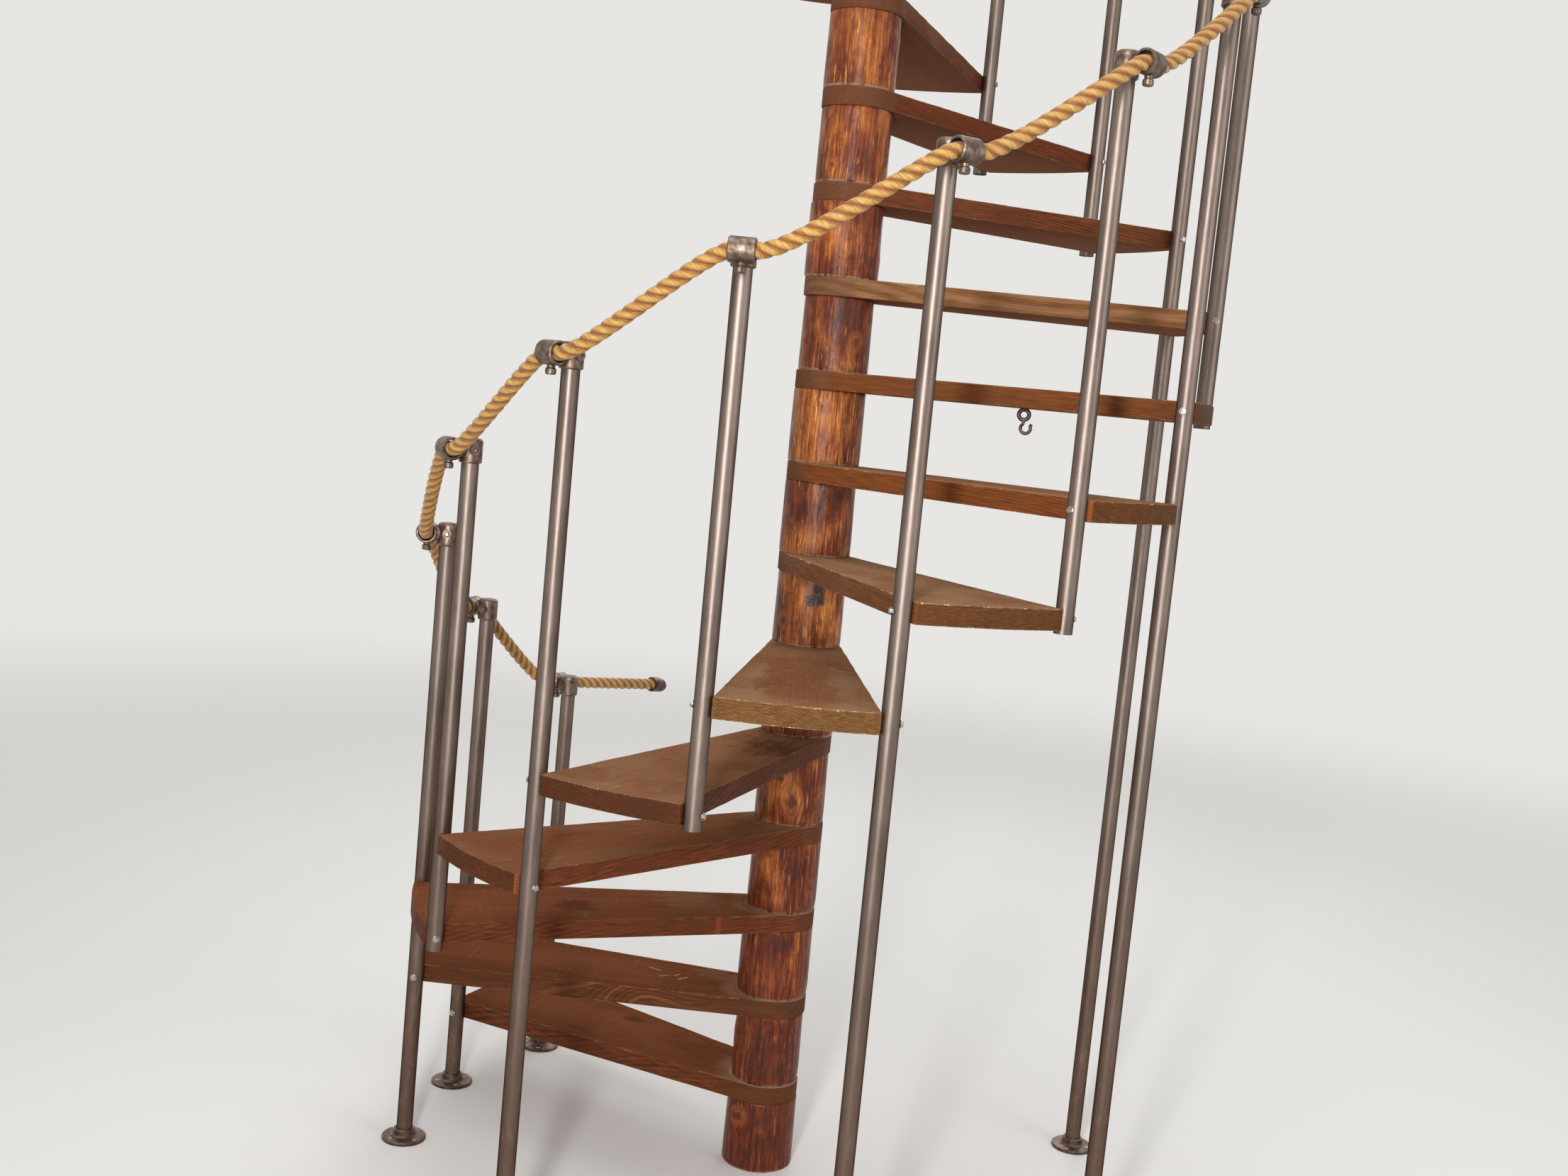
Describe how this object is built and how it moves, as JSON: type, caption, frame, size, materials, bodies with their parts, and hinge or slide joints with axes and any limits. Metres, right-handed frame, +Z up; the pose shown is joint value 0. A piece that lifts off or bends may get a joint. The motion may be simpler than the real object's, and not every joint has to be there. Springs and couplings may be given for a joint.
{
  "type": "spiral staircase",
  "caption": "Open spiral stair: wedge treads and peeled logs threaded on a central newel, with steel pipe balusters and a rope handrail in cast rings.",
  "frame": {"origin": "centre of the newel at floor level, on the underside of the foot plate", "axes": "+Z up along the newel; the stair climbs counter-clockwise seen from above, its lowest tread points 150 degrees from +X and the sixth tread points along -Y; the wall beside the rope's lower end lies at +Y"},
  "size_m": [1.6414, 1.6425, 3.6079],
  "materials": {
    "tread_wood": "worn satin stain",
    "log_wood": "gloss varnish",
    "pipe_steel": "satin",
    "cast_iron": "rough cast",
    "plated_steel": "satin",
    "rope_fibre": "fibrous"
  },
  "bodies": {
    "root": {"tread_01": "tread_wood", "tread_02": "tread_wood", "tread_03": "tread_wood", "tread_04": "tread_wood", "tread_05": "tread_wood", "tread_06": "tread_wood", "tread_07": "tread_wood", "tread_08": "tread_wood", "tread_09": "tread_wood", "tread_10": "tread_wood", "tread_11": "tread_wood", "tread_12": "tread_wood", "tread_13": "tread_wood", "tread_14": "tread_wood", "newel_log_01": "log_wood", "newel_log_02": "log_wood", "newel_log_03": "log_wood", "newel_log_04": "log_wood", "newel_log_05": "log_wood", "newel_log_06": "log_wood", "newel_log_07": "log_wood", "newel_log_08": "log_wood", "newel_log_09": "log_wood", "newel_log_10": "log_wood", "newel_log_11": "log_wood", "newel_log_12": "log_wood", "newel_log_13": "log_wood", "newel_log_14": "log_wood", "newel_log_15": "log_wood", "floor_post_00": "pipe_steel", "floor_post_01": "pipe_steel", "floor_post_02": "pipe_steel", "floor_post_04": "pipe_steel", "floor_post_06": "pipe_steel", "floor_post_08": "pipe_steel", "floor_post_10": "pipe_steel", "short_balusters": "pipe_steel", "newel_rod": "pipe_steel", "newel_foot_plate": "cast_iron", "floor_flanges": "cast_iron", "rope_rings": "cast_iron", "rope_wall_socket": "cast_iron", "newel_nut": "plated_steel", "newel_cap": "tread_wood", "rope_handrail": "rope_fibre"}
  },
  "joints": []
}
